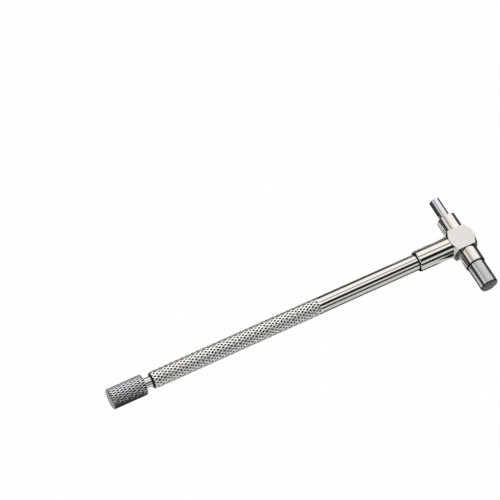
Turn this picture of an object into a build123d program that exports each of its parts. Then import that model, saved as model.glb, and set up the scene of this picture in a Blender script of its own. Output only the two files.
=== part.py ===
from build123d import *
import math
import os

os.makedirs("parts", exist_ok=True)

# Telescoping bore gauge for 19 to 32 mm, lying flat with both plungers out and the lock released.
# Millimetres. The barrel and handle axes cross above the origin, which is on the block's underside.
# +X runs from the knob to the head, +Y to the thin plunger's end, +Z up.

# Head: block, cross barrel and neck, one piece
block_side = 6.8
block_neck_reach = 4.15
block_far_reach = 3.45
neck_side_bevel = 38.0
far_side_bevel = 40.5
barrel_od = 6.0
barrel_length = 17.2
barrel_edge_chamfer = 0.06
neck_od = 6.25
neck_reach = 14.4
neck_chamfer = 0.2
socket_depth = 5.4
socket_mouth_chamfer = 0.15

# Handle tube
tube_od = 4.8
knurl_od = 4.95
tube_length = 90.65
knurl_length = 52.4
tube_bore = 2.5
tube_chamfer = 0.5

# Knob and lock screw
knob_od = 6.1
knob_length = 10.45
knob_stand_off = 2.1
knob_edge_chamfer = 0.3
knob_inner_round = 0.4
stem_od = 3.1
stem_length = 4.55
screw_od = 2.9
screw_length = 7.86
spigot_od = 2.4
spigot_length = 7.25
spigot_play = 0.1
stem_run_out = 0.6
tapping_run_out = 0.74

# Push rod, which fills the length between the screw's tip and the plungers
rod_od = 2.3
tip_od = 1.6
tip_length = 3.75
rod_shoulder_gap = 0.7

# Plungers: the thin one slides in the thick one, which slides in the barrel
thick_od = 5.4
thick_stand_out = 7.55
thick_travel = 6.85
thick_end_wall = 0.8
thin_od = 3.25
thin_stand_out = 6.85
thin_travel = 6.3
thin_end_gap = 0.2
measuring_face_radius = 9.0
slot_bridge = 0.75
flat_depth = 0.425

# Plunger spring
spring_wire = 0.2
spring_od = 1.5
spring_turns = 16
spring_bore = 1.7
spring_bore_depth = 8.0

# Locking thread: right-handed, half a turn closes the gap
thread_pitch = 0.5
lock_turn = 180.0

# Clearances
plunger_clearance = 0.025
thin_clearance = 0.03
tip_clearance = 0.05
stem_clearance = 0.05
screw_clearance = 0.05
press_clearance = 0.01
touch_gap = 0.02

# Places worked out from the sizes
axis_height = block_side / 2
barrel_r = barrel_od / 2
thick_r = thick_od / 2
thin_r = thin_od / 2
tip_r = tip_od / 2
mouth = barrel_length / 2
socket_floor = -(neck_reach - socket_depth)
tube_end = socket_floor - tube_length
knurl_start = tube_end + tube_chamfer
knob_inner = tube_end - knob_stand_off
knob_outer = knob_inner - knob_length
stem_end = knob_inner + stem_length
stem_bore_floor = stem_end + stem_run_out
screw_tip = stem_end + screw_length
tapped_floor = screw_tip + tapping_run_out
slot_r = tip_r + tip_clearance
flat_height = thin_r - flat_depth
lock_gap = thread_pitch * lock_turn / 360 + touch_gap
tip_end = -(flat_height + lock_gap)
rod_shoulder = tip_end - tip_length
rod_outer_end = screw_tip + touch_gap
passage_floor = rod_shoulder + rod_shoulder_gap
thick_rim = -(mouth + thick_stand_out)
cup_floor = thick_rim + thick_end_wall
cup_mouth = slot_r + slot_bridge
thin_rim = mouth + thin_stand_out
thin_inner_end = cup_floor + thick_travel + thin_travel + thin_end_gap
spring_seat = thin_inner_end + spring_bore_depth

handle_axis = Axis((0, 0, axis_height), (1, 0, 0))
barrel_axis = Axis((0, 0, axis_height), (0, 1, 0))
# Sections through each axis: local x runs along the axis, local y up
handle_section = Plane(origin=(0, 0, axis_height), x_dir=(1, 0, 0), z_dir=(0, -1, 0))
barrel_section = Plane(origin=(0, 0, axis_height), x_dir=(0, 1, 0), z_dir=(1, 0, 0))
# Cross-sections, square to each axis
across_handle = Plane(origin=(0, 0, axis_height), x_dir=(0, 1, 0), z_dir=(1, 0, 0))
across_barrel = Plane(origin=(0, 0, axis_height), x_dir=(1, 0, 0), z_dir=(0, 1, 0))


def dome_height(radius):
    """How far a measuring face of the common radius stands out over a rim of the given radius."""
    return measuring_face_radius - math.sqrt(measuring_face_radius**2 - radius**2)


# Head: a square bar turned to a cone at both ends, as a nut's corners are, with the barrel across
# it and the neck on the handle side
block_corner_r = math.hypot(block_side, block_side) / 2
corner_rise = block_corner_r - block_side / 2
neck_side_set_back = corner_rise * math.tan(math.radians(neck_side_bevel))
far_side_set_back = corner_rise * math.tan(math.radians(far_side_bevel))
with BuildPart() as head_body:
    with BuildSketch(Plane.XY):
        with Locations(((block_far_reach - block_neck_reach) / 2, 0)):
            Rectangle(block_neck_reach + block_far_reach, block_side)
    extrude(amount=block_side)
    with BuildSketch(handle_section):
        with BuildLine():
            Polyline(
                (-block_neck_reach, 0),
                (-block_neck_reach, block_side / 2),
                (-block_neck_reach + neck_side_set_back, block_corner_r),
                (block_far_reach - far_side_set_back, block_corner_r),
                (block_far_reach, block_side / 2),
                (block_far_reach, 0),
                close=True,
            )
        make_face()
    revolve(axis=handle_axis, mode=Mode.INTERSECT)
    with BuildSketch(barrel_section):
        with Locations((-mouth, 0)):
            Rectangle(barrel_length, barrel_r, align=(Align.MIN, Align.MIN))
        mouth_corners = vertices().group_by(Axis.Y)[-1]
        chamfer(mouth_corners, barrel_edge_chamfer)
    revolve(axis=barrel_axis)
    with BuildSketch(handle_section):
        with Locations((-neck_reach, 0)):
            Rectangle(neck_reach - barrel_r / 2, neck_od / 2, align=(Align.MIN, Align.MIN))
        neck_corner = vertices().group_by(Axis.Y)[-1].sort_by(Axis.X)[0]
        chamfer(neck_corner, neck_chamfer)
    revolve(axis=handle_axis)
    # Bore for the thick plunger, right through
    with BuildSketch(across_barrel.offset(-mouth)):
        Circle(thick_r + plunger_clearance)
    extrude(amount=barrel_length, mode=Mode.SUBTRACT)
    # Socket for the tube, passage for the push rod and guide hole for its tip
    with BuildSketch(handle_section):
        with BuildLine():
            Polyline(
                (-neck_reach, 0),
                (-neck_reach, tube_od / 2 + press_clearance + socket_mouth_chamfer),
                (-neck_reach + socket_mouth_chamfer, tube_od / 2 + press_clearance),
                (socket_floor, tube_od / 2 + press_clearance),
                (socket_floor, tube_bore / 2),
                (passage_floor, tube_bore / 2),
                (passage_floor, slot_r),
                (0, slot_r),
                (0, 0),
                close=True,
            )
        make_face()
    revolve(axis=handle_axis, mode=Mode.SUBTRACT)
head_body.part.label = "head_body"
export_step(head_body.part, "parts/head_body.step")

# Handle tube: knurled over the outer part, where the knurl stands a little above the plain part
with BuildPart() as handle_tube:
    with BuildSketch(handle_section):
        with BuildLine():
            Polyline(
                (tube_end, stem_od / 2 + stem_clearance),
                (tube_end, knurl_od / 2 - tube_chamfer),
                (knurl_start, knurl_od / 2),
                (knurl_start + knurl_length, knurl_od / 2),
                (knurl_start + knurl_length, tube_od / 2),
                (socket_floor, tube_od / 2),
                (socket_floor, tube_bore / 2),
                (tapped_floor, tube_bore / 2),
                (tapped_floor, screw_od / 2 + screw_clearance),
                (stem_bore_floor, screw_od / 2 + screw_clearance),
                (stem_bore_floor, stem_od / 2 + stem_clearance),
                close=True,
            )
        make_face()
    revolve(axis=handle_axis)
handle_tube.part.label = "handle_tube"
export_step(handle_tube.part, "parts/handle_tube.step")

# Knob: closed outer end, blind bore for the screw's spigot
with BuildPart() as knob:
    with BuildSketch(handle_section):
        with Locations((knob_outer, 0)):
            Rectangle(knob_length, knob_od / 2, align=(Align.MIN, Align.MIN))
        rim_corners = vertices().group_by(Axis.Y)[-1].sort_by(Axis.X)
        chamfer(rim_corners[0], knob_edge_chamfer)
        fillet(rim_corners[-1], knob_inner_round)
    revolve(axis=handle_axis)
    with BuildSketch(across_handle.offset(knob_inner)):
        Circle(spigot_od / 2 + press_clearance)
    extrude(amount=-(spigot_length + spigot_play), mode=Mode.SUBTRACT)
knob.part.label = "knob"
export_step(knob.part, "parts/knob.step")

# Lock screw: spigot in the knob, plain stem that shows, threaded shank in the tube
with BuildPart() as lock_screw:
    with BuildSketch(across_handle.offset(knob_inner)):
        Circle(stem_od / 2)
    extrude(amount=stem_length)
    with BuildSketch(across_handle.offset(knob_inner)):
        Circle(spigot_od / 2)
    extrude(amount=-spigot_length)
    with BuildSketch(across_handle.offset(stem_end)):
        Circle(screw_od / 2)
    extrude(amount=screw_length)
lock_screw.part.label = "lock_screw"
export_step(lock_screw.part, "parts/lock_screw.step")

# Push rod: long body in the tube, thin tip that reaches through the cup's slot
with BuildPart() as push_rod:
    with BuildSketch(across_handle.offset(rod_outer_end)):
        Circle(rod_od / 2)
    extrude(amount=rod_shoulder - rod_outer_end)
    with BuildSketch(across_handle.offset(rod_shoulder)):
        Circle(tip_r)
    extrude(amount=tip_length)
push_rod.part.label = "push_rod"
export_step(push_rod.part, "parts/push_rod.step")

# Thick plunger: a cup with a domed measuring face, and a slot for the push rod's tip whose ends
# stop its travel
with BuildPart() as thick_plunger:
    with BuildSketch(barrel_section):
        with BuildLine():
            rim = (thick_rim, thick_r)
            top = (thick_rim - dome_height(thick_r), 0)
            RadiusArc(top, rim, measuring_face_radius)
            Polyline(
                rim,
                (cup_mouth, thick_r),
                (cup_mouth, thin_r + thin_clearance),
                (cup_floor, thin_r + thin_clearance),
                (cup_floor, 0),
                top,
            )
        make_face()
    revolve(axis=barrel_axis)
    with BuildSketch(across_handle):
        with Locations((-thick_travel / 2, 0)):
            SlotCenterToCenter(thick_travel, 2 * slot_r)
    extrude(amount=-thick_od, mode=Mode.SUBTRACT)
thick_plunger.part.label = "thick_plunger"
export_step(thick_plunger.part, "parts/thick_plunger.step")

# Thin plunger: a rod with a domed measuring face, a milled flat for the push rod's tip whose
# shoulders stop its travel, and a bore from the inner end for the spring
with BuildPart() as thin_plunger:
    with BuildSketch(barrel_section):
        with BuildLine():
            rim = (thin_rim, thin_r)
            top = (thin_rim + dome_height(thin_r), 0)
            RadiusArc(rim, top, measuring_face_radius)
            Polyline(
                rim,
                (thin_inner_end, thin_r),
                (thin_inner_end, spring_bore / 2),
                (spring_seat, spring_bore / 2),
                (spring_seat, 0),
                top,
            )
        make_face()
    revolve(axis=barrel_axis)
    with BuildSketch(across_handle.offset(-flat_height)):
        with Locations((-slot_r, 0)):
            Rectangle(thin_travel + 2 * slot_r, thin_od, align=(Align.MIN, Align.CENTER))
    extrude(amount=-thin_od, mode=Mode.SUBTRACT)
thin_plunger.part.label = "thin_plunger"
export_step(thin_plunger.part, "parts/thin_plunger.step")

# Plunger spring, from the cup's floor to the end of the thin plunger's bore
spring_start = cup_floor + spring_wire / 2 + touch_gap
spring_end = spring_seat - spring_wire / 2 - touch_gap
with BuildPart() as plunger_spring:
    with BuildLine():
        coil = Helix(
            pitch=(spring_end - spring_start) / spring_turns,
            height=spring_end - spring_start,
            radius=(spring_od - spring_wire) / 2,
            center=(0, spring_start, axis_height),
            direction=(0, 1, 0),
        )
    with BuildSketch(Plane(origin=coil @ 0, z_dir=coil % 0)):
        RegularPolygon(spring_wire / 2, 4)
    sweep(is_frenet=True)
plunger_spring.part.label = "plunger_spring"
export_step(plunger_spring.part, "parts/plunger_spring.step")
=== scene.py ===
import math

import bmesh
import bpy
from mathutils import Euler, Matrix, Vector


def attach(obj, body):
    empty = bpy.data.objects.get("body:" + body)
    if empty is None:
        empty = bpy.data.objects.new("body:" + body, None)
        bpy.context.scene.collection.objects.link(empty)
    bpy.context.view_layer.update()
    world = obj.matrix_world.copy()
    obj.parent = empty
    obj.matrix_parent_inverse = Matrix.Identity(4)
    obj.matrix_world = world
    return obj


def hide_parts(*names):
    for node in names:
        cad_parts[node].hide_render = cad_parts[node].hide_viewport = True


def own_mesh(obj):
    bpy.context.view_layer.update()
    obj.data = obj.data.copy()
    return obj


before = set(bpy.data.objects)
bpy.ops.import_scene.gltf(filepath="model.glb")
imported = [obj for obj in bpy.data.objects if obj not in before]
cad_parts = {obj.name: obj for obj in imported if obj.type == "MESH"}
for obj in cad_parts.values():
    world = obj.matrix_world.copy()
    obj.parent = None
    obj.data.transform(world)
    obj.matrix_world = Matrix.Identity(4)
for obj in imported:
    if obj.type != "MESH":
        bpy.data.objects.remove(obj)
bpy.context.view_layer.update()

# Telescoping bore gauge. Shapes are made in millimetres, in the frame's own axes, and brought to
# metres as each piece is finished. Along the handle, places are below zero towards the knob.
# Along the barrel, they are below zero towards the thick plunger.
MM = 0.001
HANDLE = Vector((1, 0, 0))
BARREL = Vector((0, 1, 0))

# How finely round shapes are made
TURN_STEPS = 192
BORE_STEPS = 96
SLOT_STEPS = 48
COIL_STEPS = 32
WIRE_STEPS = 8
DOME_STEPS = 8
NECK_ROUND_STEPS = 6
KNOB_ROUND_STEPS = 5

# How closely things are compared: WELD and NEAR in millimetres, ALONG and ACROSS as the share of
# a face's normal that points along an axis, SHARP as the angle between two faces. Further down, a
# lean is the share of its normal with which a face has to look out of a piece's end to be part of
# that end.
WELD = 0.0001
NEAR = 0.01
ALONG = 0.999
ACROSS = 0.01
SHARP = math.radians(22)

# A cutting tool runs this far past the metal that it cuts, and a blank stands a margin over what
# is made from it
PAST = 1.0

# Clearances
PLUNGER_CLEARANCE = 0.025
THIN_CLEARANCE = 0.03
SCREW_CLEARANCE = 0.05
PRESS_CLEARANCE = 0.01
TOUCH_GAP = 0.02

# Head. An edge that is broken is given as how far it reaches along, and inwards.
BLOCK_SIDE = 6.8
AXIS_HEIGHT = BLOCK_SIDE / 2
BLOCK_NECK_REACH = 4.15
BLOCK_FAR_REACH = 3.45
NECK_SIDE_BEVEL = 38.0
FAR_SIDE_BEVEL = 40.5
CORNER_MARGIN = 0.4
BARREL_RADIUS = 3.0
BARREL_MOUTH = 8.6
THICK_MOUTH_EDGE = (0.42, 0.12)
THIN_MOUTH_EDGE = (0.08, 0.08)
THICK_MOUTH_LEAN = 0.2
NECK_RADIUS = 3.125
NECK_ROOT = 2.0
NECK_WALL_REACH = 14.3
NECK_ROUND = 0.8125
NECK_ROUND_SWEEP = 53.13
NECK_LIP_REACH = 15.15
NECK_LIP_RADIUS = 2.6
NECK_CUT_DEPTH = 0.25
SOCKET_LEAD = 0.15
SOCKET_FLOOR = 9.0
TIP_PASSAGE_REACH = 4.52
TIP_SLOT_RADIUS = 0.85

# Handle tube. A knurl's pit steps are the (width, drop) of each step from the middle of a ridge
# down to the pit's small floor, and its pit radii the span in which a face counts as pit and is
# painted near black, as painted shade in the pits.
TUBE_RADIUS = 2.4
TUBE_BORE_RADIUS = 1.25
TUBE_LENGTH = 90.65
TUBE_END = -SOCKET_FLOOR - TUBE_LENGTH
TUBE_CHAMFER = 0.5
TUBE_CUT_DEPTH = 0.45
TUBE_CUT_LEAN = 0.5
SOCKET_RADIUS = TUBE_RADIUS + PRESS_CLEARANCE
KNURL_RADIUS = 2.475
KNURL_LENGTH = 52.4
KNURL_INNER_END = TUBE_END + TUBE_CHAMFER + KNURL_LENGTH
KNURL_MARGIN = 0.1
PLAIN_PART_OVERLAP = 0.6
PLAIN_PART_STEP = 0.3
PLAIN_PART_LEAD = 0.05
TUBE_PIT_STEPS = ((0.05, 0), (0.08, 0.025), (0.06, 0.06), (0.18, 0.12))
TUBE_PIT_RADII = (2.0, 2.39)
TUBE_KNURL_STARTS = 15
TUBE_KNURL_PITCH = 1.66

# Knob
KNOB_RADIUS = 3.05
KNOB_LENGTH = 10.45
KNOB_STAND_OFF = 2.1
KNOB_INNER = TUBE_END - KNOB_STAND_OFF
KNOB_OUTER = KNOB_INNER - KNOB_LENGTH
KNOB_CHAMFER = 0.3
KNOB_ROUND = 0.4
KNOB_ROUND_START = 75
KNOB_INNER_FACE_DEPTH = 0.05
KNOB_PIT_STEPS = ((0.03, 0), (0.05, 0.02), (0.04, 0.05), (0.16, 0.1))
KNOB_PIT_RADII = (2.5, 3.01)
KNOB_KNURL_STARTS = 27
KNOB_KNURL_PITCH = 2.16

# Lock screw
STEM_RADIUS = 1.55
STEM_LENGTH = 4.55
STEM_END = KNOB_INNER + STEM_LENGTH
STEM_RUN_OUT = 0.6
SPIGOT_RADIUS = 1.2
SPIGOT_LENGTH = 7.25
SPIGOT_END = KNOB_INNER - SPIGOT_LENGTH
SPIGOT_PLAY = 0.1
SCREW_RADIUS = 1.45
SCREW_LENGTH = 7.86
SCREW_TIP = STEM_END + SCREW_LENGTH
TAPPING_RUN_OUT = 0.74

# Plungers
FACE_RADIUS = 9.0
THICK_RADIUS = 2.7
BORE_RADIUS = THICK_RADIUS + PLUNGER_CLEARANCE
THICK_STAND_OUT = 7.55
THICK_TRAVEL = 6.85
THICK_RIM = -BARREL_MOUTH - THICK_STAND_OUT
THICK_END_WALL = 0.8
THICK_FACE_EDGE = (0.33, 0.15)
THICK_EDGE_LEAN = (0.3, 0.9)
SLOT_BRIDGE = 0.75
SLOT_REACH = 3.2
CUP_FLOOR = THICK_RIM + THICK_END_WALL
CUP_MOUTH = TIP_SLOT_RADIUS + SLOT_BRIDGE
THIN_RADIUS = 1.625
CUP_RADIUS = THIN_RADIUS + THIN_CLEARANCE
THIN_STAND_OUT = 6.85
THIN_TRAVEL = 6.3
THIN_RIM = BARREL_MOUTH + THIN_STAND_OUT
THIN_END_GAP = 0.2
THIN_INNER_END = CUP_FLOOR + THICK_TRAVEL + THIN_TRAVEL + THIN_END_GAP
THIN_FACE_EDGE = (0.04, 0.04)
THIN_FACE_LEAN = 0.1
FLAT_DEPTH = 0.425
FLAT_HEIGHT = THIN_RADIUS - FLAT_DEPTH
FLAT_CUTTER_THICKNESS = 2.0
FLAT_CUTTER_WIDTH = 4.0

# Plunger spring
SPRING_BORE_RADIUS = 0.85
SPRING_BORE_DEPTH = 8.0
SPRING_SEAT = THIN_INNER_END + SPRING_BORE_DEPTH
SPRING_RADIUS = 0.65
SPRING_WIRE_RADIUS = 0.1
SPRING_TURNS = 16
SPRING_START = CUP_FLOOR + SPRING_WIRE_RADIUS + TOUCH_GAP
SPRING_END = SPRING_SEAT - SPRING_WIRE_RADIUS - TOUCH_GAP
SPRING_HALF_GAP = 0.01


# Shapes


def stand(along, radius, axis):
    """A point of an outline: so far along the axis, and so far from it."""
    return Vector((0, 0, AXIS_HEIGHT)) + axis * along + Vector((0, 0, radius))


def turned(outline, axis, steps=TURN_STEPS):
    """A solid turned from an outline of (along, radius) points, whose ends are on the axis."""
    form = bmesh.new()
    points = [form.verts.new(stand(along, radius, axis)) for along, radius in outline]
    edges = [form.edges.new(pair) for pair in zip(points, points[1:])]
    bmesh.ops.spin(
        form,
        geom=points + edges,
        cent=(0, 0, AXIS_HEIGHT),
        axis=axis,
        angle=math.tau,
        steps=steps,
        use_merge=True,
    )
    bmesh.ops.remove_doubles(form, verts=form.verts, dist=WELD)
    bmesh.ops.recalc_face_normals(form, faces=form.faces)
    return form


def arc(center, radius, start, end, steps):
    """Points of an arc in an outline, from one angle to another, in degrees."""
    turns = [math.radians(start + (end - start) * n / steps) for n in range(steps + 1)]
    return [
        (center[0] + radius * math.cos(turn), center[1] + radius * math.sin(turn))
        for turn in turns
    ]


def dome(rim_along, rim_radius, edge, side):
    """A measuring face's outline, from the broken edge round its rim to its middle. edge is how
    far that edge reaches along and inwards, side is +1 or -1 along the barrel."""
    center = rim_along - side * math.sqrt(FACE_RADIUS**2 - rim_radius**2)
    reach = math.asin((rim_radius - edge[1]) / FACE_RADIUS)
    turns = [reach * (1 - n / DOME_STEPS) for n in range(DOME_STEPS + 1)]
    face = [
        (center + side * FACE_RADIUS * math.cos(turn), FACE_RADIUS * math.sin(turn))
        for turn in turns
    ]
    return [(face[0][0] - side * edge[0], rim_radius)] + face


def round_bar(start, end, radius, axis, steps=TURN_STEPS):
    """A plain round bar, for cutting."""
    return turned([(start, 0), (start, radius), (end, radius), (end, 0)], axis, steps)


def square_bar(middle, size):
    """A plain rectangular bar, for cutting."""
    form = bmesh.new()
    place = Matrix.Translation(middle) @ Matrix.Diagonal((*size, 1))
    bmesh.ops.create_cube(form, size=1, matrix=place)
    return form


def knurled_bar(start, end, radius, starts, pitch, pit_steps):
    """A bar along the handle whose wall is a diamond knurl: two crossing sets of ridges that stand
    at the radius, with a four-sided pit between them."""
    rows = round((end - start) / (pitch / 2))
    columns = 2 * starts
    form = bmesh.new()
    bmesh.ops.create_grid(form, x_segments=rows, y_segments=columns, size=0.5)
    crossings = []
    middles = []
    for point in form.verts:
        row = round((point.co.x + 0.5) * rows)
        column = round((point.co.y + 0.5) * columns)
        (crossings if (row + column) % 2 else middles).append(point)
        turn = math.tau * column / columns
        point.co = (
            start + (end - start) * row / rows,
            radius * math.cos(turn),
            AXIS_HEIGHT + radius * math.sin(turn),
        )
    bmesh.ops.connect_verts(form, verts=crossings)
    bmesh.ops.remove_doubles(form, verts=form.verts, dist=WELD)
    bmesh.ops.recalc_face_normals(form, faces=form.faces)
    bmesh.ops.dissolve_verts(form, verts=[point for point in middles if point.is_valid])
    pits = [face for face in form.faces if len(face.verts) == 4]
    for width, drop in pit_steps:
        bmesh.ops.inset_individual(
            form, faces=pits, thickness=width, depth=-drop, use_even_offset=True
        )
    close_ends(form)
    return form


def close_ends(form):
    """Fill the open ends of a tube-like shape, and turn all its faces outwards."""
    open_edges = [edge for edge in form.edges if edge.is_boundary]
    bmesh.ops.holes_fill(form, edges=open_edges, sides=0)
    bmesh.ops.recalc_face_normals(form, faces=form.faces)


def square_bar_turned_at_its_ends():
    """The head's block: a square bar whose ends are turned to cones, so each flat ends in arcs."""
    corner = BLOCK_SIDE / math.sqrt(2) + CORNER_MARGIN
    rise = corner - BLOCK_SIDE / 2
    neck_set_back = rise * math.tan(math.radians(NECK_SIDE_BEVEL))
    far_set_back = rise * math.tan(math.radians(FAR_SIDE_BEVEL))
    form = turned(
        [
            (-BLOCK_NECK_REACH, 0),
            (-BLOCK_NECK_REACH, BLOCK_SIDE / 2),
            (-BLOCK_NECK_REACH + neck_set_back, corner),
            (BLOCK_FAR_REACH - far_set_back, corner),
            (BLOCK_FAR_REACH, BLOCK_SIDE / 2),
            (BLOCK_FAR_REACH, 0),
        ],
        HANDLE,
    )
    for side in (Vector((0, 1, 0)), Vector((0, -1, 0)), Vector((0, 0, 1)), Vector((0, 0, -1))):
        cut = bmesh.ops.bisect_plane(
            form,
            geom=form.verts[:] + form.edges[:] + form.faces[:],
            dist=WELD,
            plane_co=Vector((0, 0, AXIS_HEIGHT)) + side * (BLOCK_SIDE / 2),
            plane_no=side,
            clear_outer=True,
        )["geom_cut"]
        rim = [part for part in cut if isinstance(part, bmesh.types.BMEdge)]
        bmesh.ops.contextual_create(form, geom=rim)
    bmesh.ops.recalc_face_normals(form, faces=form.faces)
    return form


def coil(start, end):
    """Part of the spring's wire, from one place along the barrel to another."""
    pitch = (SPRING_END - SPRING_START) / SPRING_TURNS
    turns = (end - start) / pitch
    steps = round(turns * COIL_STEPS)
    begin = math.tau * (start - SPRING_START) / pitch
    form = bmesh.new()
    bmesh.ops.create_circle(
        form,
        segments=WIRE_STEPS,
        radius=SPRING_WIRE_RADIUS,
        matrix=Matrix.Translation((0, start, AXIS_HEIGHT))
        @ Matrix.Rotation(begin, 4, "Y")
        @ Matrix.Translation((SPRING_RADIUS, 0, 0)),
    )
    bmesh.ops.spin(
        form,
        geom=form.verts[:] + form.edges[:],
        cent=(0, start, AXIS_HEIGHT),
        axis=BARREL,
        dvec=BARREL * (end - start) / steps,
        angle=math.tau * turns,
        steps=steps,
    )
    close_ends(form)
    return form


# From a shape to a finished piece


def as_object(form, name):
    """A working object from a shape, still in millimetres."""
    mesh = bpy.data.meshes.new(name)
    form.to_mesh(mesh)
    form.free()
    obj = bpy.data.objects.new(name, mesh)
    bpy.context.scene.collection.objects.link(obj)
    return obj


def machined(name, stock, *steps):
    """The stock shape after each step, which is ("UNION", "DIFFERENCE" or "INTERSECT", shape)."""
    body = as_object(stock, name)
    for how, tool_form in steps:
        tool = as_object(tool_form, "tool")
        cut = body.modifiers.new("cut", "BOOLEAN")
        cut.operation = how
        cut.solver = "EXACT"
        cut.object = tool
        bpy.context.view_layer.update()
        made = bpy.data.meshes.new_from_object(
            body.evaluated_get(bpy.context.evaluated_depsgraph_get())
        )
        body.modifiers.clear()
        body.data = made
        bpy.data.objects.remove(tool)
    form = bmesh.new()
    form.from_mesh(body.data)
    bpy.data.objects.remove(body)
    bmesh.ops.remove_doubles(form, verts=form.verts, dist=WELD)
    return form


def finished(name, form, body, nodes, surfaces, polish=()):
    """The piece from its shape: brought to metres, edges kept sharp, each face given its finish,
    and the mirror-bright round walls given their true normals.

    surfaces is a list of (material, test of a face's middle and normal in millimetres), the last
    of which takes every face that is left. polish is a list of (axis, radius)."""
    mesh = bpy.data.meshes.new(name)
    for edge in form.edges:
        edge.smooth = len(edge.link_faces) == 2 and edge.calc_face_angle(0) < SHARP
    for face in form.faces:
        face.smooth = True
        middle = face.calc_center_median()
        face.material_index = next(
            n for n, (_, test) in enumerate(surfaces) if test is None or test(middle, face.normal)
        )
    form.to_mesh(mesh)
    form.free()
    for material, _ in surfaces:
        mesh.materials.append(material)
    if polish:
        true_normals(mesh, polish)
    mesh.transform(Matrix.Scale(MM, 4))
    obj = bpy.data.objects.new(name, mesh)
    bpy.context.scene.collection.objects.link(obj)
    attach(obj, body)
    if nodes:
        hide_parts(*nodes)
    return obj


def true_normals(mesh, polish):
    """Give each round wall the normals of the true cylinder, so that it mirrors cleanly."""
    normals = [Vector(normal.vector) for normal in mesh.corner_normals]
    for face in mesh.polygons:
        for axis, radius in polish:
            off_wall = abs(arm_from(axis, face.center).length - radius) > NEAR
            if off_wall or abs(face.normal.dot(axis)) > ACROSS:
                continue
            for corner in face.loop_indices:
                point = mesh.vertices[mesh.loops[corner].vertex_index].co
                normals[corner] = arm_from(axis, point).normalized()
    mesh.normals_split_custom_set(normals)


def arm_from(axis, place):
    """The way from the handle's or the barrel's axis straight out to a place."""
    arm = Vector(place) - Vector((0, 0, AXIS_HEIGHT))
    return arm - axis * arm.dot(axis)


# Finishes

# How tightly a finish's lines or grains are spaced along x, y and z, per metre
TURNED_ON_HANDLE_AXIS = (9000.0, 25.0, 25.0)
TURNED_ON_BARREL_AXIS = (25.0, 9000.0, 25.0)
DRAWN_ALONG_HANDLE = (60.0, 3000.0, 3000.0)
SATIN_GRAIN = (2500.0, 2500.0, 2500.0)
CUT_GRAIN = (3000.0, 3000.0, 3000.0)

# The middle band of a noise, which is spread over the whole of what it drives
LINE_BAND = (0.3, 0.7)
SMEAR_BAND = (0.45, 0.75)
SCRATCH_BAND = (0.5, 0.8)

SMEARS_PER_METRE = 180.0
SCRATCHES_PER_METRE = 1500.0
SCRATCH_SHARE = 0.6
LINE_GLOSS_CHANGE = 0.02


def feed(tree, socket, value):
    """Give a socket a fixed value, or what another socket puts out."""
    if isinstance(value, bpy.types.NodeSocket):
        tree.links.new(value, socket)
    else:
        socket.default_value = value


def noise(tree, place, scale, detail, roughness=0.5):
    """A cloudy noise over the place."""
    node = tree.nodes.new("ShaderNodeTexNoise")
    node.inputs["Scale"].default_value = scale
    node.inputs["Detail"].default_value = detail
    node.inputs["Roughness"].default_value = roughness
    tree.links.new(place, node.inputs["Vector"])
    return node.outputs["Fac"]


def spread(tree, value, band, low=0.0, high=1.0):
    """The value, with its band spread from low to high, and held there outside the band."""
    node = tree.nodes.new("ShaderNodeMapRange")
    for socket, amount in zip(node.inputs, (value, *band, low, high)):
        feed(tree, socket, amount)
    return node.outputs[0]


def reckon(tree, how, *values):
    """A sum on one or two values."""
    node = tree.nodes.new("ShaderNodeMath")
    node.operation = how
    for socket, value in zip(node.inputs, values):
        feed(tree, socket, value)
    return node.outputs[0]


def mixed(tree, first, second, share):
    """The first value, going over to the second as the share goes from 0 to 1."""
    node = tree.nodes.new("ShaderNodeMix")
    node.data_type = "FLOAT"
    for socket, value in (("Factor", share), ("A", first), ("B", second)):
        feed(tree, node.inputs[socket], value)
    return node.outputs["Result"]


def new_group(name, inputs, output):
    """An empty shader node group with named inputs, given with their usual values, and one
    output, a value."""
    group = bpy.data.node_groups.new(name, "ShaderNodeTree")
    for socket, kind, value in inputs:
        made = group.interface.new_socket(socket, in_out="INPUT", socket_type=kind)
        if value is not None:
            made.default_value = value
    group.interface.new_socket(output, in_out="OUTPUT", socket_type="NodeSocketFloat")
    return group, group.nodes.new("NodeGroupInput"), group.nodes.new("NodeGroupOutput")


def make_tool_lines():
    """The fine lines or grains that a tool leaves, as a mask. Stretch says how tightly they are
    spaced along x, y and z."""
    group, given, result = new_group(
        "tool_lines",
        [
            ("Vector", "NodeSocketVector", None),
            ("Stretch", "NodeSocketVector", (1.0, 1.0, 1.0)),
        ],
        "Lines",
    )
    scaled = group.nodes.new("ShaderNodeVectorMath")
    scaled.operation = "MULTIPLY"
    group.links.new(given.outputs["Vector"], scaled.inputs[0])
    group.links.new(given.outputs["Stretch"], scaled.inputs[1])
    fine = noise(group, scaled.outputs[0], scale=1.0, detail=4.0, roughness=0.7)
    group.links.new(fine, result.inputs["Lines"])
    return group


def make_handling():
    """Faint handling marks: broad smears and small fine scratches, as one mask from 0 to 1."""
    group, given, result = new_group(
        "handling",
        [("Vector", "NodeSocketVector", None), ("Amount", "NodeSocketFloat", 1.0)],
        "Marks",
    )
    place = given.outputs["Vector"]
    smears = spread(group, noise(group, place, SMEARS_PER_METRE, detail=3.0), SMEAR_BAND)
    scratches = spread(group, noise(group, place, SCRATCHES_PER_METRE, detail=4.0), SCRATCH_BAND)
    faint_scratches = reckon(group, "MULTIPLY", scratches, SCRATCH_SHARE)
    both = reckon(group, "MAXIMUM", smears, faint_scratches)
    marks = reckon(group, "MULTIPLY", both, given.outputs["Amount"])
    group.links.new(marks, result.inputs["Marks"])
    return group


TOOL_LINES = make_tool_lines()
HANDLING = make_handling()


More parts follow.
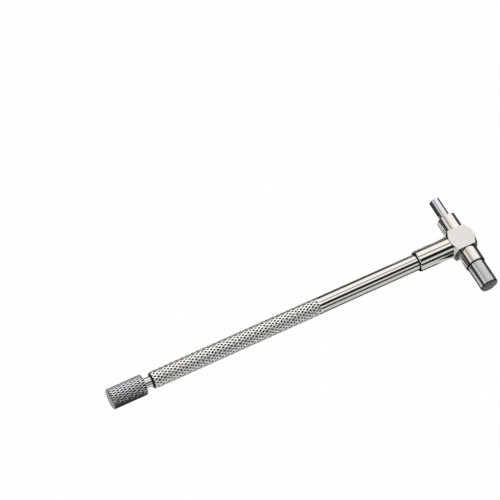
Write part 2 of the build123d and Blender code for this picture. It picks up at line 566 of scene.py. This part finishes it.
def metal(name, light, dark, clean, handled, lines, lines_depth, marks):
    """A metal finish. light and dark are the colours that it varies between, clean and handled
    the roughness of clean and of handled places, lines how tightly the tool's lines are spaced,
    lines_depth how deep they are in metres, and marks how much handling shows."""
    material = bpy.data.materials.new(name)
    material.use_nodes = True
    tree = material.node_tree
    tree.nodes.clear()
    out = tree.nodes.new("ShaderNodeOutputMaterial")
    shader = tree.nodes.new("ShaderNodeBsdfPrincipled")
    tree.links.new(shader.outputs["BSDF"], out.inputs["Surface"])
    shader.inputs["Metallic"].default_value = 1.0
    place = tree.nodes.new("ShaderNodeTexCoord").outputs["Object"]

    tool_lines = tree.nodes.new("ShaderNodeGroup")
    tool_lines.node_tree = TOOL_LINES
    tool_lines.inputs["Stretch"].default_value = lines
    tree.links.new(place, tool_lines.inputs["Vector"])
    line_mask = tool_lines.outputs["Lines"]

    handling = tree.nodes.new("ShaderNodeGroup")
    handling.node_tree = HANDLING
    handling.inputs["Amount"].default_value = marks
    tree.links.new(place, handling.inputs["Vector"])

    tone = tree.nodes.new("ShaderNodeMix")
    tone.data_type = "RGBA"
    tone.inputs["A"].default_value = (*dark, 1)
    tone.inputs["B"].default_value = (*light, 1)
    tree.links.new(spread(tree, line_mask, LINE_BAND), tone.inputs["Factor"])
    tree.links.new(tone.outputs["Result"], shader.inputs["Base Color"])

    gloss = spread(tree, handling.outputs["Marks"], (0.0, 1.0), clean, handled)
    streaks = spread(tree, line_mask, LINE_BAND, -LINE_GLOSS_CHANGE, LINE_GLOSS_CHANGE)
    tree.links.new(reckon(tree, "ADD", gloss, streaks), shader.inputs["Roughness"])

    bump = tree.nodes.new("ShaderNodeBump")
    bump.inputs["Strength"].default_value = 1.0
    bump.inputs["Distance"].default_value = lines_depth
    tree.links.new(line_mask, bump.inputs["Height"])
    tree.links.new(bump.outputs["Normal"], shader.inputs["Normal"])
    return material


bright_nickel = metal(
    "bright_nickel",
    light=(0.66, 0.645, 0.61), dark=(0.62, 0.605, 0.57), clean=0.05, handled=0.09,
    lines=TURNED_ON_HANDLE_AXIS, lines_depth=1.5e-7, marks=0.8,
)
barrel_nickel = metal(
    "barrel_nickel",
    light=(0.67, 0.65, 0.615), dark=(0.62, 0.605, 0.57), clean=0.09, handled=0.13,
    lines=TURNED_ON_BARREL_AXIS, lines_depth=2e-7, marks=0.8,
)
satin_nickel = metal(
    "satin_nickel",
    light=(0.80, 0.775, 0.745), dark=(0.74, 0.72, 0.69), clean=0.42, handled=0.5,
    lines=SATIN_GRAIN, lines_depth=8e-7, marks=0.6,
)
knurl_nickel = metal(
    "knurl_nickel",
    light=(0.97, 0.955, 0.925), dark=(0.90, 0.885, 0.855), clean=0.1, handled=0.15,
    lines=CUT_GRAIN, lines_depth=2e-7, marks=1.0,
)
knob_steel = metal(
    "knob_steel",
    light=(0.95, 0.965, 1.0), dark=(0.86, 0.875, 0.92), clean=0.08, handled=0.14,
    lines=CUT_GRAIN, lines_depth=2e-7, marks=1.0,
)
knob_end_steel = metal(
    "knob_end_steel",
    light=(0.33, 0.333, 0.345), dark=(0.28, 0.283, 0.295), clean=0.38, handled=0.46,
    lines=SATIN_GRAIN, lines_depth=1e-6, marks=1.0,
)
ground_steel = metal(
    "ground_steel",
    light=(0.60, 0.60, 0.60), dark=(0.54, 0.54, 0.545), clean=0.17, handled=0.23,
    lines=TURNED_ON_BARREL_AXIS, lines_depth=3e-7, marks=0.8,
)
cool_ground_steel = metal(
    "cool_ground_steel",
    light=(0.605, 0.61, 0.635), dark=(0.545, 0.555, 0.58), clean=0.1, handled=0.15,
    lines=TURNED_ON_BARREL_AXIS, lines_depth=2e-7, marks=0.8,
)
# Painted reflection: the measuring faces are made dark grey to show the shaded floor that they
# face, not the brightness of their own steel
face_painted_shade = metal(
    "face_painted_shade",
    light=(0.125, 0.123, 0.124), dark=(0.09, 0.088, 0.089), clean=0.32, handled=0.4,
    lines=SATIN_GRAIN, lines_depth=8e-7, marks=0.8,
)
# Painted shade: near-black steel for the knurl's pits, standing for the shade deep inside them
pit_painted_shade = metal(
    "pit_painted_shade",
    light=(0.06, 0.058, 0.055), dark=(0.03, 0.029, 0.027), clean=0.3, handled=0.4,
    lines=CUT_GRAIN, lines_depth=5e-7, marks=1.0,
)
# Painted shade: near-black steel for cut ends, mouths and broken edges, standing for the shade in
# the gaps between parts and the shadowed floor that they mirror
cut_edge_painted_shade = metal(
    "cut_edge_painted_shade",
    light=(0.05, 0.048, 0.045), dark=(0.025, 0.024, 0.022), clean=0.3, handled=0.4,
    lines=CUT_GRAIN, lines_depth=5e-7, marks=1.0,
)
# Painted shade: the side flats are made dark to show the shade under the barrel that they mirror
side_flat_painted_shade = metal(
    "side_flat_painted_shade",
    light=(0.12, 0.115, 0.105), dark=(0.07, 0.067, 0.06), clean=0.3, handled=0.38,
    lines=CUT_GRAIN, lines_depth=8e-7, marks=1.0,
)
screw_steel = metal(
    "screw_steel",
    light=(0.67, 0.675, 0.685), dark=(0.61, 0.615, 0.625), clean=0.05, handled=0.09,
    lines=TURNED_ON_HANDLE_AXIS, lines_depth=1.5e-7, marks=0.8,
)
rod_steel = metal(
    "rod_steel",
    light=(0.50, 0.50, 0.49), dark=(0.42, 0.42, 0.41), clean=0.28, handled=0.36,
    lines=DRAWN_ALONG_HANDLE, lines_depth=1e-6, marks=1.0,
)
spring_steel = metal(
    "spring_steel",
    light=(0.56, 0.56, 0.57), dark=(0.48, 0.48, 0.49), clean=0.24, handled=0.3,
    lines=SATIN_GRAIN, lines_depth=6e-7, marks=0.6,
)


# Head


def is_flat(middle, normal):
    """The block's upper or lower flat."""
    return abs(normal.z) > ALONG and abs(middle.z - AXIS_HEIGHT) > BLOCK_SIDE / 2 - NEAR


def is_side_flat(middle, normal):
    """One of the two flats that the barrel comes out of, painted dark as a painted reflection of
    the shade under the barrel.
    """
    return abs(normal.y) > ALONG and abs(abs(middle.y) - BLOCK_SIDE / 2) < NEAR


def is_mouth(middle, normal):
    """The cut ends of the barrel, on the thick plunger's side, and of the neck, painted near black
    as painted shade in the gaps round the plunger and the tube.
    """
    in_thick_mouth = middle.y < -BARREL_MOUTH + THICK_MOUTH_EDGE[0]
    in_neck_end = middle.x < -NECK_LIP_REACH + NECK_CUT_DEPTH
    return in_thick_mouth and normal.y < -THICK_MOUTH_LEAN or in_neck_end


def is_barrel(middle, normal):
    """The barrel's wall and bore, and its mouth on the thin plunger's side."""
    in_barrel = arm_from(BARREL, middle).length < BARREL_RADIUS + 2 * NEAR
    return in_barrel and (abs(normal.y) < ACROSS or abs(middle.y) > BLOCK_SIDE / 2)


def make_head():
    """The block with its cross barrel and its neck, bored for the plungers, the tube and the
    push rod's tip."""
    barrel = turned(
        [
            (-BARREL_MOUTH, 0),
            (-BARREL_MOUTH, BARREL_RADIUS - THICK_MOUTH_EDGE[1]),
            (-BARREL_MOUTH + THICK_MOUTH_EDGE[0], BARREL_RADIUS),
            (BARREL_MOUTH - THIN_MOUTH_EDGE[0], BARREL_RADIUS),
            (BARREL_MOUTH, BARREL_RADIUS - THIN_MOUTH_EDGE[1]),
            (BARREL_MOUTH, 0),
        ],
        BARREL,
    )
    neck = turned(
        [
            (-NECK_LIP_REACH, 0),
            (-NECK_LIP_REACH, NECK_LIP_RADIUS),
            *arc(
                (-NECK_WALL_REACH, NECK_RADIUS - NECK_ROUND),
                NECK_ROUND,
                90 + NECK_ROUND_SWEEP,
                90,
                NECK_ROUND_STEPS,
            ),
            (-NECK_ROOT, NECK_RADIUS),
            (-NECK_ROOT, 0),
        ],
        HANDLE,
    )
    bore = round_bar(-BARREL_MOUTH - PAST, BARREL_MOUTH + PAST, BORE_RADIUS, BARREL)
    socket = turned(
        [
            (-NECK_LIP_REACH - PAST, 0),
            (-NECK_LIP_REACH - PAST, SOCKET_RADIUS + SOCKET_LEAD),
            (-NECK_LIP_REACH, SOCKET_RADIUS + SOCKET_LEAD),
            (-NECK_LIP_REACH + SOCKET_LEAD, SOCKET_RADIUS),
            (-SOCKET_FLOOR, SOCKET_RADIUS),
            (-SOCKET_FLOOR, TUBE_BORE_RADIUS),
            (-TIP_PASSAGE_REACH, TUBE_BORE_RADIUS),
            (-TIP_PASSAGE_REACH, TIP_SLOT_RADIUS),
            (0, TIP_SLOT_RADIUS),
            (0, 0),
        ],
        HANDLE,
    )
    form = machined(
        "head",
        square_bar_turned_at_its_ends(),
        ("UNION", barrel),
        ("UNION", neck),
        ("DIFFERENCE", bore),
        ("DIFFERENCE", socket),
    )
    finished(
        "head", form, "head", ["head_body"],
        [
            # The side flats and the cut mouths are painted dark, as painted shade
            (satin_nickel, is_flat),
            (side_flat_painted_shade, is_side_flat),
            (cut_edge_painted_shade, is_mouth),
            (barrel_nickel, is_barrel),
            (bright_nickel, None),
        ],
        polish=[(BARREL, BARREL_RADIUS), (HANDLE, NECK_RADIUS)],
    )


# Handle tube


def is_tube_cut_end(middle, normal):
    """The chamfer and the rim at the knob's end, painted near black as painted shade."""
    return middle.x < TUBE_END + TUBE_CUT_DEPTH and normal.x < -TUBE_CUT_LEAN


def is_tube_pit(middle, normal):
    """The knurl's pits, painted near black as painted shade."""
    low, high = TUBE_PIT_RADII
    return middle.x < KNURL_INNER_END and low < arm_from(HANDLE, middle).length < high


def is_tube_knurl(middle, normal):
    """The rest of the knurl, and the bore inside it."""
    return TUBE_END + NEAR < middle.x < KNURL_INNER_END - NEAR


def make_handle_tube():
    """A tube with a chamfered knurled part and a thinner plain part, bored for the lock screw
    and the push rod."""
    knurl = knurled_bar(
        TUBE_END - TUBE_KNURL_PITCH / 4,
        KNURL_INNER_END,
        KNURL_RADIUS,
        TUBE_KNURL_STARTS,
        TUBE_KNURL_PITCH,
        TUBE_PIT_STEPS,
    )
    chamfered = turned(
        [
            (TUBE_END, 0),
            (TUBE_END, KNURL_RADIUS - TUBE_CHAMFER),
            (TUBE_END + TUBE_CHAMFER + KNURL_MARGIN, KNURL_RADIUS + KNURL_MARGIN),
            (KNURL_INNER_END + PAST, KNURL_RADIUS + KNURL_MARGIN),
            (KNURL_INNER_END + PAST, 0),
        ],
        HANDLE,
    )
    plain_part = turned(
        [
            (KNURL_INNER_END - PLAIN_PART_OVERLAP, 0),
            (KNURL_INNER_END - PLAIN_PART_OVERLAP, KNURL_RADIUS - PLAIN_PART_STEP),
            (KNURL_INNER_END - PLAIN_PART_LEAD, KNURL_RADIUS - PLAIN_PART_STEP),
            (KNURL_INNER_END, TUBE_RADIUS),
            (-SOCKET_FLOOR, TUBE_RADIUS),
            (-SOCKET_FLOOR, 0),
        ],
        HANDLE,
    )
    bore = turned(
        [
            (TUBE_END - PAST, 0),
            (TUBE_END - PAST, STEM_RADIUS + SCREW_CLEARANCE),
            (STEM_END + STEM_RUN_OUT, STEM_RADIUS + SCREW_CLEARANCE),
            (STEM_END + STEM_RUN_OUT, SCREW_RADIUS + SCREW_CLEARANCE),
            (SCREW_TIP + TAPPING_RUN_OUT, SCREW_RADIUS + SCREW_CLEARANCE),
            (SCREW_TIP + TAPPING_RUN_OUT, TUBE_BORE_RADIUS),
            (-SOCKET_FLOOR + PAST, TUBE_BORE_RADIUS),
            (-SOCKET_FLOOR + PAST, 0),
        ],
        HANDLE,
        BORE_STEPS,
    )
    form = machined(
        "handle_tube",
        knurl,
        ("INTERSECT", chamfered),
        ("UNION", plain_part),
        ("DIFFERENCE", bore),
    )
    finished(
        "handle_tube", form, "head", ["handle_tube"],
        [
            (cut_edge_painted_shade, is_tube_cut_end),
            (pit_painted_shade, is_tube_pit),
            (knurl_nickel, is_tube_knurl),
            (bright_nickel, None),
        ],
        polish=[(HANDLE, TUBE_RADIUS)],
    )


# Knob


def is_knob_end(middle, normal):
    """The outer end with its chamfer, and the inner face."""
    in_outer_end = middle.x < KNOB_OUTER + KNOB_CHAMFER
    return in_outer_end or middle.x > KNOB_INNER - KNOB_INNER_FACE_DEPTH


def is_knob_pit(middle, normal):
    """The knurl's pits, painted near black as painted shade."""
    low, high = KNOB_PIT_RADII
    return low < arm_from(HANDLE, middle).length < high


def make_knob():
    """A knurled bar, chamfered outside and rounded inside, bored for the screw's spigot."""
    knurl = knurled_bar(
        KNOB_OUTER - KNOB_KNURL_PITCH / 4,
        KNOB_INNER + KNOB_KNURL_PITCH / 4,
        KNOB_RADIUS,
        KNOB_KNURL_STARTS,
        KNOB_KNURL_PITCH,
        KNOB_PIT_STEPS,
    )
    chamfered_and_rounded = turned(
        [
            (KNOB_OUTER, 0),
            (KNOB_OUTER, KNOB_RADIUS - KNOB_CHAMFER),
            (KNOB_OUTER + KNOB_CHAMFER + KNURL_MARGIN, KNOB_RADIUS + KNURL_MARGIN),
            (KNOB_INNER - KNOB_ROUND, KNOB_RADIUS + KNURL_MARGIN),
            *arc(
                (KNOB_INNER - KNOB_ROUND, KNOB_RADIUS - KNOB_ROUND),
                KNOB_ROUND,
                KNOB_ROUND_START,
                0,
                KNOB_ROUND_STEPS,
            ),
            (KNOB_INNER, 0),
        ],
        HANDLE,
    )
    spigot_hole = round_bar(
        SPIGOT_END - SPIGOT_PLAY,
        KNOB_INNER + PAST,
        SPIGOT_RADIUS + PRESS_CLEARANCE,
        HANDLE,
        BORE_STEPS,
    )
    form = machined(
        "knob", knurl, ("INTERSECT", chamfered_and_rounded), ("DIFFERENCE", spigot_hole)
    )
    finished(
        "knob", form, "lock_knob", ["knob"],
        [(knob_end_steel, is_knob_end), (pit_painted_shade, is_knob_pit), (knob_steel, None)],
    )


# Lock screw


def make_lock_screw():
    """The spigot that the knob is pressed on, the plain stem and the threaded end."""
    form = turned(
        [
            (SPIGOT_END, 0),
            (SPIGOT_END, SPIGOT_RADIUS),
            (KNOB_INNER, SPIGOT_RADIUS),
            (KNOB_INNER, STEM_RADIUS),
            (STEM_END, STEM_RADIUS),
            (STEM_END, SCREW_RADIUS),
            (SCREW_TIP, SCREW_RADIUS),
            (SCREW_TIP, 0),
        ],
        HANDLE,
    )
    finished(
        "lock_screw", form, "lock_knob", ["lock_screw"], [(screw_steel, None)]
    )


# Plungers


def is_thick_edge(middle, normal):
    """The broken edge round the thick plunger's measuring face, painted near black as painted
    shade.
    """
    low, high = THICK_EDGE_LEAN
    return middle.y < THICK_RIM + THICK_FACE_EDGE[0] and low < -normal.y < high


def is_thick_face(middle, normal):
    """The thick plunger's measuring face, painted dark as a painted reflection of the floor
    beneath.
    """
    return middle.y < THICK_RIM - NEAR


def is_thin_face(middle, normal):
    """The thin plunger's measuring face and the broken edge round it, painted dark as a painted
    reflection of the floor beneath.
    """
    return middle.y > THIN_RIM - THIN_FACE_EDGE[0] and normal.y > THIN_FACE_LEAN


def make_thick_plunger():
    """A cup with a domed end, and a slot for the push rod's tip that is one travel long."""
    cup = turned(
        [
            *reversed(dome(THICK_RIM, THICK_RADIUS, THICK_FACE_EDGE, -1)),
            (CUP_MOUTH, THICK_RADIUS),
            (CUP_MOUTH, CUP_RADIUS),
            (CUP_FLOOR, CUP_RADIUS),
            (CUP_FLOOR, 0),
        ],
        BARREL,
    )
    slot = []
    for along in (0, -THICK_TRAVEL):
        slot_end = round_bar(-SLOT_REACH, 0, TIP_SLOT_RADIUS, HANDLE, SLOT_STEPS)
        bmesh.ops.translate(slot_end, verts=slot_end.verts, vec=(0, along, 0))
        slot.append(("DIFFERENCE", slot_end))
    slot_middle = square_bar(
        (-SLOT_REACH / 2, -THICK_TRAVEL / 2, AXIS_HEIGHT),
        (SLOT_REACH, THICK_TRAVEL, 2 * TIP_SLOT_RADIUS),
    )
    slot.append(("DIFFERENCE", slot_middle))
    finished(
        "thick_plunger", machined("thick_plunger", cup, *slot),
        "thick_plunger", ["thick_plunger"],
        [(cut_edge_painted_shade, is_thick_edge), (face_painted_shade, is_thick_face), (ground_steel, None)],
        polish=[(BARREL, THICK_RADIUS)],
    )


def make_thin_plunger():
    """A bar with a domed end, bored for the spring, with a flat that the push rod's tip clamps."""
    bar = turned(
        [
            (SPRING_SEAT, 0),
            (SPRING_SEAT, SPRING_BORE_RADIUS),
            (THIN_INNER_END, SPRING_BORE_RADIUS),
            (THIN_INNER_END, THIN_RADIUS),
            *dome(THIN_RIM, THIN_RADIUS, THIN_FACE_EDGE, 1),
        ],
        BARREL,
    )
    flat_length = THIN_TRAVEL + 2 * TIP_SLOT_RADIUS
    flat = square_bar(
        (
            -FLAT_HEIGHT - FLAT_CUTTER_THICKNESS / 2,
            flat_length / 2 - TIP_SLOT_RADIUS,
            AXIS_HEIGHT,
        ),
        (FLAT_CUTTER_THICKNESS, flat_length, FLAT_CUTTER_WIDTH),
    )
    finished(
        "thin_plunger", machined("thin_plunger", bar, ("DIFFERENCE", flat)),
        "thin_plunger", ["thin_plunger"],
        [(face_painted_shade, is_thin_face), (cool_ground_steel, None)],
        polish=[(BARREL, THIN_RADIUS)],
    )


# Pieces that stay inside


def give_push_rod_its_steel():
    """The push rod is the frame's own, with its finish."""
    for material_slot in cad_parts["push_rod"].material_slots:
        material_slot.material = rod_steel


def make_plunger_spring():
    """The spring shortens from both ends, so each half follows its own plunger and closes up
    towards it, and the two halves always meet at the same place."""
    both_travels = THICK_TRAVEL + THIN_TRAVEL
    meeting = (SPRING_SEAT * THICK_TRAVEL + CUP_FLOOR * THIN_TRAVEL) / both_travels
    for name, start, end, seat, travel, body, joint, nodes in (
        ("plunger_spring", SPRING_START, meeting - SPRING_HALF_GAP, CUP_FLOOR, THICK_TRAVEL,
         "thick_plunger", "thick_slide", ["plunger_spring"]),
        ("plunger_spring_inner_half", meeting + SPRING_HALF_GAP, SPRING_END, SPRING_SEAT,
         THIN_TRAVEL, "thin_plunger", "thin_slide", []),
    ):
        half = finished(
            name, coil(start, end), body, nodes, [(spring_steel, None)]
        )
        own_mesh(half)


# Floor, light and camera

# The floor's strengths are shares of full white, and its size is in metres
FLOOR_REACH = 1.5
FLOOR_GREY = 0.8
FLOOR_WHITE_TO_CAMERA = 0.985
FLOOR_WHITE_IN_METAL = 0.65

# The dark boards are painted shade: sheets on the floor that only reflections see, standing for
# the shadowed floor and dark surroundings near the gauge, each given by its corners. The handle's
# round walls mirror what lies further towards the head, and the barrel's what lies further towards
# the thin plunger.
BOARD_HEIGHT = 0.3
PAINTED_SHADE_BLACK = 0.03
BOARD_ROUGHNESS = 0.9
SIDE_REACH = 120
HEAD_REACH = 160
FRONT_REACH = -90
TUBE_FRONT = -4.7
BARREL_BACK = 12.3
NECK_BOARD_START = -20
PAINTED_SHADE_BOARDS = (
    # Under the handle tube and behind it
    (
        (-98, TUBE_FRONT),
        (NECK_BOARD_START, TUBE_FRONT),
        (NECK_BOARD_START, SIDE_REACH),
        (-98, SIDE_REACH),
    ),
    # Under the tube's plain end and the neck
    (
        (NECK_BOARD_START, TUBE_FRONT),
        (-9, TUBE_FRONT),
        (-7.5, -3.3),
        (-7.5, 4.7),
        (-6, 4.8),
        (-6, 8.3),
        (NECK_BOARD_START, 8.3),
    ),
    # Under the thick plunger, on the neck's side
    ((-5.2, -16.7), (2, -16.7), (2, -4.8), (-4.2, -4.8), (-5.2, -8)),
    # Under the barrel and the thin plunger, on the neck's side
    ((-3.8, 3.4), (0, 3.4), (0, BARREL_BACK), (-3.8, BARREL_BACK)),
    # Behind the thin plunger, on the neck's side
    (
        (NECK_BOARD_START, BARREL_BACK),
        (-1, BARREL_BACK),
        (-1, SIDE_REACH),
        (NECK_BOARD_START, SIDE_REACH),
    ),
    # Behind the thin plunger, on the far side
    (
        (3.4, BARREL_BACK),
        (HEAD_REACH, BARREL_BACK),
        (HEAD_REACH, SIDE_REACH),
        (3.4, SIDE_REACH),
    ),
    # Beyond the head
    (
        (10, FRONT_REACH),
        (HEAD_REACH, FRONT_REACH),
        (HEAD_REACH, BARREL_BACK),
        (10, BARREL_BACK),
        (5.5, -2),
        (6.5, -8),
    ),
    # Under the knob and before it
    ((-111.9, -60), (-100.6, -60), (-100.6, -5), (-102, -3.4), (-102, 3.4), (-111.9, 3.4)),
)


def make_floor():
    """A pale floor that reads white and still takes the gauge's soft shadow."""
    form = bmesh.new()
    bmesh.ops.create_grid(form, x_segments=8, y_segments=8, size=FLOOR_REACH)
    obj = as_object(form, "floor")
    material = bpy.data.materials.new("white_floor")
    material.use_nodes = True
    tree = material.node_tree
    tree.nodes.clear()
    out = tree.nodes.new("ShaderNodeOutputMaterial")
    matt = tree.nodes.new("ShaderNodeBsdfDiffuse")
    matt.inputs["Color"].default_value = (FLOOR_GREY, FLOOR_GREY, FLOOR_GREY, 1)
    glow = tree.nodes.new("ShaderNodeEmission")
    glow.inputs["Strength"].default_value = 1.0
    rays = tree.nodes.new("ShaderNodeLightPath")
    seen = reckon(tree, "MULTIPLY", rays.outputs["Is Camera Ray"], FLOOR_WHITE_TO_CAMERA)
    mirrored = reckon(
        tree, "MAXIMUM", rays.outputs["Is Glossy Ray"], rays.outputs["Is Transmission Ray"]
    )
    in_metal = reckon(tree, "MULTIPLY", mirrored, FLOOR_WHITE_IN_METAL)
    mix = tree.nodes.new("ShaderNodeMixShader")
    tree.links.new(reckon(tree, "MAXIMUM", seen, in_metal), mix.inputs["Fac"])
    tree.links.new(matt.outputs["BSDF"], mix.inputs[1])
    tree.links.new(glow.outputs["Emission"], mix.inputs[2])
    tree.links.new(mix.outputs["Shader"], out.inputs["Surface"])
    obj.data.materials.append(material)


def make_painted_shade_boards():
    """Dark boards on the floor, as painted shade, that give the bright metal its dark edges. Only
    its reflections see them."""
    form = bmesh.new()
    for corners in PAINTED_SHADE_BOARDS:
        points = [form.verts.new((x, y, BOARD_HEIGHT)) for x, y in corners]
        bmesh.ops.contextual_create(form, geom=points)
    bmesh.ops.scale(form, verts=form.verts, vec=(MM, MM, MM))
    obj = as_object(form, "painted_shade_boards")
    material = bpy.data.materials.new("painted_shade_board")
    material.use_nodes = True
    shader = material.node_tree.nodes["Principled BSDF"]
    shader.inputs["Base Color"].default_value = (PAINTED_SHADE_BLACK, PAINTED_SHADE_BLACK, PAINTED_SHADE_BLACK, 1)
    shader.inputs["Roughness"].default_value = BOARD_ROUGHNESS
    obj.data.materials.append(material)
    obj.visible_camera = False
    obj.visible_diffuse = False
    obj.visible_shadow = False


# The light is given by its direction from the gauge, a vector of length 1, so a height is the sine
# of the angle above the horizon, and none is over 1
PAST_ZENITH = 1.3
ROOM_LEVEL = 0.012
LIGHT_COLOR = (1, 0.995, 0.985, 1)
SEAM_PLACE = 0.268
SEAM_EDGE = (0.07, 0.082)
KNOB_SIDE_EDGE = (-0.3, -0.1)
NEAR_SIDE_EDGE = (-0.26, -0.21)


def panel(tree, height, low, high, soft, level):
    """A light panel's strength by height: its level from low to high, with soft edges, and none
    outside."""
    rise = spread(tree, height, (low - soft, low + soft), 0.0, level)
    fall = spread(tree, height, (high - soft, high + soft), 1.0, 0.0)
    return reckon(tree, "MULTIPLY", rise, fall)


def make_world():
    """A soft studio seen from the gauge: a dark room with a wide light overhead. On the head's
    side the light comes down far and has a dark seam. Towards the knob, and more so on the near
    side, a dark gap parts its upper panel from its lower one."""
    world = bpy.data.worlds.new("studio")
    bpy.context.scene.world = world
    world.use_nodes = True
    tree = world.node_tree
    tree.nodes.clear()
    out = tree.nodes.new("ShaderNodeOutputWorld")
    sky = tree.nodes.new("ShaderNodeBackground")
    tree.links.new(sky.outputs["Background"], out.inputs["Surface"])
    way = tree.nodes.new("ShaderNodeTexCoord").outputs["Generated"]
    parts = tree.nodes.new("ShaderNodeSeparateXYZ")
    tree.links.new(way, parts.inputs["Vector"])
    x, y, z = parts.outputs

    head_side = reckon(
        tree, "ADD",
        panel(tree, z, low=0.31, high=0.76, soft=0.13, level=1.5),
        panel(tree, z, low=0.76, high=PAST_ZENITH, soft=0.10, level=1.3),
    )
    from_seam = reckon(tree, "ABSOLUTE", reckon(tree, "SUBTRACT", y, SEAM_PLACE))
    head_side = reckon(tree, "MULTIPLY", head_side, spread(tree, from_seam, SEAM_EDGE))
    knob_side = reckon(
        tree, "ADD",
        panel(tree, z, low=0.42, high=0.76, soft=0.12, level=1.15),
        panel(tree, z, low=0.87, high=PAST_ZENITH, soft=0.10, level=1.1),
    )
    near_side = reckon(
        tree, "ADD",
        panel(tree, z, low=0.36, high=0.65, soft=0.06, level=0.95),
        panel(tree, z, low=0.94, high=PAST_ZENITH, soft=0.02, level=1.4),
    )
    to_knob = spread(tree, x, KNOB_SIDE_EDGE, 1.0, 0.0)
    to_near = spread(tree, y, NEAR_SIDE_EDGE, 1.0, 0.0)
    panels = mixed(tree, mixed(tree, head_side, knob_side, to_knob), near_side, to_near)
    light = reckon(tree, "ADD", panels, ROOM_LEVEL)
    rays = tree.nodes.new("ShaderNodeLightPath")
    strength = mixed(tree, light, 1.0, rays.outputs["Is Camera Ray"])
    tree.links.new(strength, sky.inputs["Strength"])
    sky.inputs["Color"].default_value = LIGHT_COLOR


# The camera's place is in millimetres, and its turns are in degrees
CAMERA_PLACE = (-193.87, -216.16, 478.11)
CAMERA_TURNS = (30.3122, -1.3895, -27.4169)
CAMERA_LENS = 137.69
CAMERA_SENSOR = 36
CAMERA_CLIP = (0.01, 10)


def make_camera():
    """The photograph's own view, found by fitting a camera to the gauge's edges in it."""
    data = bpy.data.cameras.new("camera")
    data.sensor_width = CAMERA_SENSOR
    data.lens = CAMERA_LENS
    data.clip_start, data.clip_end = CAMERA_CLIP
    camera = bpy.data.objects.new("camera", data)
    camera.location = Vector(CAMERA_PLACE) * MM
    camera.rotation_euler = Euler([math.radians(turn) for turn in CAMERA_TURNS])
    bpy.context.scene.collection.objects.link(camera)
    bpy.context.scene.camera = camera


make_head()
make_handle_tube()
make_knob()
make_lock_screw()
make_thick_plunger()
make_thin_plunger()
give_push_rod_its_steel()
make_plunger_spring()
make_floor()
make_painted_shade_boards()
make_world()
make_camera()

bpy.context.scene.view_settings.view_transform = "Standard"
